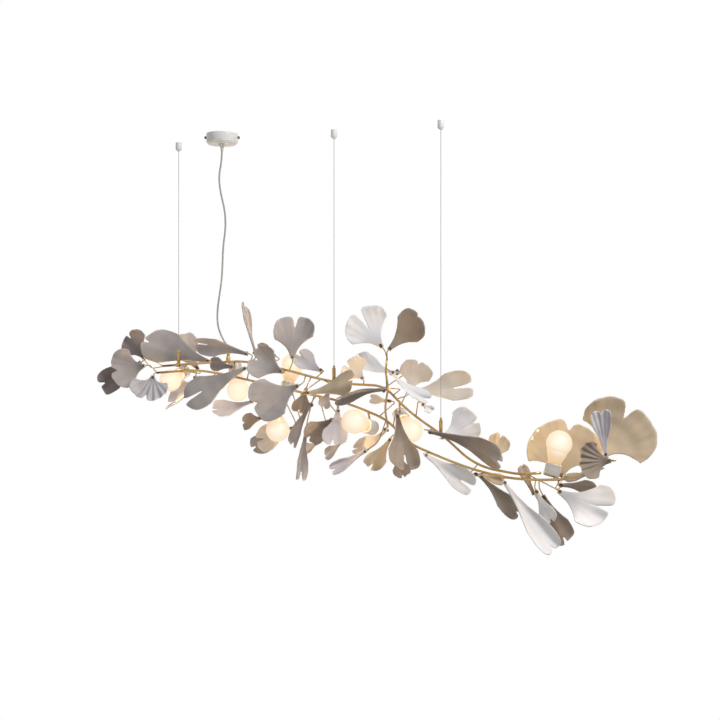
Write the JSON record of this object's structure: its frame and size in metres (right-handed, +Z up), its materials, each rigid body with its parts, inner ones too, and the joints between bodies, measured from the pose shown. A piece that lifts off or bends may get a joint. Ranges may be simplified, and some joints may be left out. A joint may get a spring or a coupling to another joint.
{
  "type": "branch chandelier",
  "caption": "Suspended brass branch with porcelain ginkgo leaves on screws, opal globe lamps in porcelain holders, steel cables with grippers and a power cord.",
  "frame": {"origin": "centre of the ceiling rose's ceiling face", "axes": "+Z up towards the ceiling, +X to the right in the picture, +Y away from the viewer"},
  "size_m": [1.3763, 0.6457, 1.0095],
  "materials": {
    "porcelain": "matte white biscuit porcelain",
    "holder_porcelain": "satin glazed porcelain",
    "opal_glass": "opal glass, lit warm white",
    "brass": "polished brass",
    "dark_bronze": "blackened brass",
    "satin_metal": "satin white enamel",
    "zinc_steel": "zinc plated steel",
    "nylon": "moulded polyamide",
    "steel_cable": "stranded stainless steel",
    "cord_grey": "grey cord sheath"
  },
  "bodies": {
    "root": {"ceiling_rose": "satin_metal", "rose_bracket": "zinc_steel", "rose_screws": "dark_bronze", "terminal_block": "nylon", "cord_gland": "satin_metal", "anchor_bases": "satin_metal", "anchor_caps": "satin_metal", "cable_left": "steel_cable", "cable_middle": "steel_cable", "cable_right": "steel_cable", "power_cord": "cord_grey"},
    "branch": {"branch_gland": "brass", "centre_post": "brass", "gripper_collars": "brass", "grippers": "brass", "lamp_arms": "brass", "lampholders": "holder_porcelain", "leaf_nuts": "dark_bronze", "leaf_screws": "dark_bronze", "leaves_centre_front": "porcelain", "leaves_centre_left": "porcelain", "leaves_centre_low": "porcelain", "leaves_centre_top": "porcelain", "leaves_glow_centre": "porcelain", "leaves_glow_left": "porcelain", "leaves_hub": "porcelain", "leaves_left_end": "porcelain", "leaves_left_middle": "porcelain", "leaves_right_back": "porcelain", "leaves_right_end": "porcelain", "leaves_right_front": "porcelain", "leaves_right_low": "porcelain", "rod_lower": "brass", "rod_upper": "brass", "twigs_left": "brass", "twigs_middle": "brass", "twigs_right": "brass"},
    "bulb_1": {"bulb_1": "opal_glass"},
    "bulb_2": {"bulb_2": "opal_glass"},
    "bulb_3": {"bulb_3": "opal_glass"},
    "bulb_4": {"bulb_4": "opal_glass"},
    "bulb_5": {"bulb_5": "opal_glass"},
    "bulb_6": {"bulb_6": "opal_glass"},
    "bulb_7": {"bulb_7": "opal_glass"},
    "leaf_blade": {"leaf_blade": "porcelain"},
    "leaf_crown_brown": {"leaf_crown_brown": "porcelain"},
    "leaf_crown_white": {"leaf_crown_white": "porcelain"},
    "leaf_drop_long": {"leaf_drop_long": "porcelain"},
    "leaf_drop_short": {"leaf_drop_short": "porcelain"},
    "leaf_end_back": {"leaf_end_back": "porcelain"},
    "leaf_end_tan": {"leaf_end_tan": "porcelain"},
    "leaf_end_white": {"leaf_end_white": "porcelain"},
    "leaf_hanging_brown": {"leaf_hanging_brown": "porcelain"},
    "leaf_hanging_slim": {"leaf_hanging_slim": "porcelain"},
    "leaf_left_long": {"leaf_left_long": "porcelain"},
    "leaf_left_tip": {"leaf_left_tip": "porcelain"},
    "leaf_split_right": {"leaf_split_right": "porcelain"},
    "leaf_upright_fan": {"leaf_upright_fan": "porcelain"},
    "leaf_upright_narrow": {"leaf_upright_narrow": "porcelain"}
  },
  "joints": [
    {"name": "height_adjust", "type": "slide", "parent": "root", "child": "branch", "axis": [0, 0, 1], "range_m": [0, 0.06], "deforming": ["power_cord"]},
    {"name": "bulb_1_out", "type": "slide", "parent": "branch", "child": "bulb_1", "axis": [-0.3523, -0.8858, -0.302], "range_m": [0, 0.028]},
    {"name": "bulb_2_out", "type": "slide", "parent": "branch", "child": "bulb_2", "axis": [0.1503, -0.3006, -0.9418], "range_m": [0, 0.028]},
    {"name": "bulb_3_out", "type": "slide", "parent": "branch", "child": "bulb_3", "axis": [0.1998, 0.1998, -0.9592], "range_m": [0, 0.028]},
    {"name": "bulb_4_out", "type": "slide", "parent": "branch", "child": "bulb_4", "axis": [0.1995, 0.2494, 0.9476], "range_m": [0, 0.028]},
    {"name": "bulb_5_out", "type": "slide", "parent": "branch", "child": "bulb_5", "axis": [-0.6046, -0.7557, 0.2519], "range_m": [0, 0.028]},
    {"name": "bulb_6_out", "type": "slide", "parent": "branch", "child": "bulb_6", "axis": [0.362, -0.7756, -0.5171], "range_m": [0, 0.028]},
    {"name": "bulb_7_out", "type": "slide", "parent": "branch", "child": "bulb_7", "axis": [0.2496, 0, 0.9684], "range_m": [0, 0.028]},
    {"name": "leaf_blade_swivel", "type": "hinge", "parent": "branch", "child": "leaf_blade", "pos_m": [0.229, -0.062, -0.687], "axis": [0.6247, -0.6714, -0.3987], "range_deg": [-12, 5]},
    {"name": "leaf_crown_brown_swivel", "type": "hinge", "parent": "branch", "child": "leaf_crown_brown", "pos_m": [0.424, -0.128, -0.547], "axis": [0.0459, -0.9977, -0.0495], "range_deg": [-12, 12]},
    {"name": "leaf_crown_white_swivel", "type": "hinge", "parent": "branch", "child": "leaf_crown_white", "pos_m": [0.403, -0.092, -0.541], "axis": [-0.2421, -0.8812, 0.4061], "range_deg": [-12, 12]},
    {"name": "leaf_drop_long_swivel", "type": "hinge", "parent": "branch", "child": "leaf_drop_long", "pos_m": [0.683, -0.278, -0.855], "axis": [0.0207, -0.9742, 0.2249], "range_deg": [-8, 5]},
    {"name": "leaf_drop_short_swivel", "type": "hinge", "parent": "branch", "child": "leaf_drop_short", "pos_m": [0.633, -0.25, -0.847], "axis": [-0.2233, -0.9505, -0.2163], "range_deg": [-8, 5]},
    {"name": "leaf_end_back_swivel", "type": "hinge", "parent": "branch", "child": "leaf_end_back", "pos_m": [0.823, -0.218, -0.845], "axis": [0.0284, -0.9423, 0.3336], "range_deg": [-10, 5]},
    {"name": "leaf_end_tan_swivel", "type": "hinge", "parent": "branch", "child": "leaf_end_tan", "pos_m": [0.902, -0.322, -0.789], "axis": [0.0276, -0.9901, 0.1376], "range_deg": [-12, 12]},
    {"name": "leaf_end_white_swivel", "type": "hinge", "parent": "branch", "child": "leaf_end_white", "pos_m": [0.803, -0.312, -0.874], "axis": [-0.1138, -0.8519, 0.5113], "range_deg": [-12, 12]},
    {"name": "leaf_hanging_brown_swivel", "type": "hinge", "parent": "branch", "child": "leaf_hanging_brown", "pos_m": [0.44, -0.166, -0.709], "axis": [-0.193, -0.973, 0.1263], "range_deg": [-12, 12]},
    {"name": "leaf_hanging_slim_swivel", "type": "hinge", "parent": "branch", "child": "leaf_hanging_slim", "pos_m": [0.216, -0.045, -0.755], "axis": [0.5784, -0.8033, -0.1419], "range_deg": [-12, 12]},
    {"name": "leaf_left_long_swivel", "type": "hinge", "parent": "branch", "child": "leaf_left_long", "pos_m": [-0.048, 0.096, -0.579], "axis": [-0.4488, -0.8398, 0.3054], "range_deg": [-12, 2]},
    {"name": "leaf_left_tip_swivel", "type": "hinge", "parent": "branch", "child": "leaf_left_tip", "pos_m": [-0.239, 0.138, -0.583], "axis": [-0.6387, -0.7209, 0.269], "range_deg": [-12, 12]},
    {"name": "leaf_split_right_swivel", "type": "hinge", "parent": "branch", "child": "leaf_split_right", "pos_m": [0.482, -0.13, -0.651], "axis": [0.1072, -0.9038, 0.4143], "range_deg": [-12, 12]},
    {"name": "leaf_upright_fan_swivel", "type": "hinge", "parent": "branch", "child": "leaf_upright_fan", "pos_m": [0.18, -0.016, -0.567], "axis": [0, -0.9814, 0.1922], "range_deg": [-12, 12]},
    {"name": "leaf_upright_narrow_swivel", "type": "hinge", "parent": "branch", "child": "leaf_upright_narrow", "pos_m": [0.081, 0.04, -0.555], "axis": [0.8336, -0.3754, 0.4052], "range_deg": [-12, 12]}
  ]
}
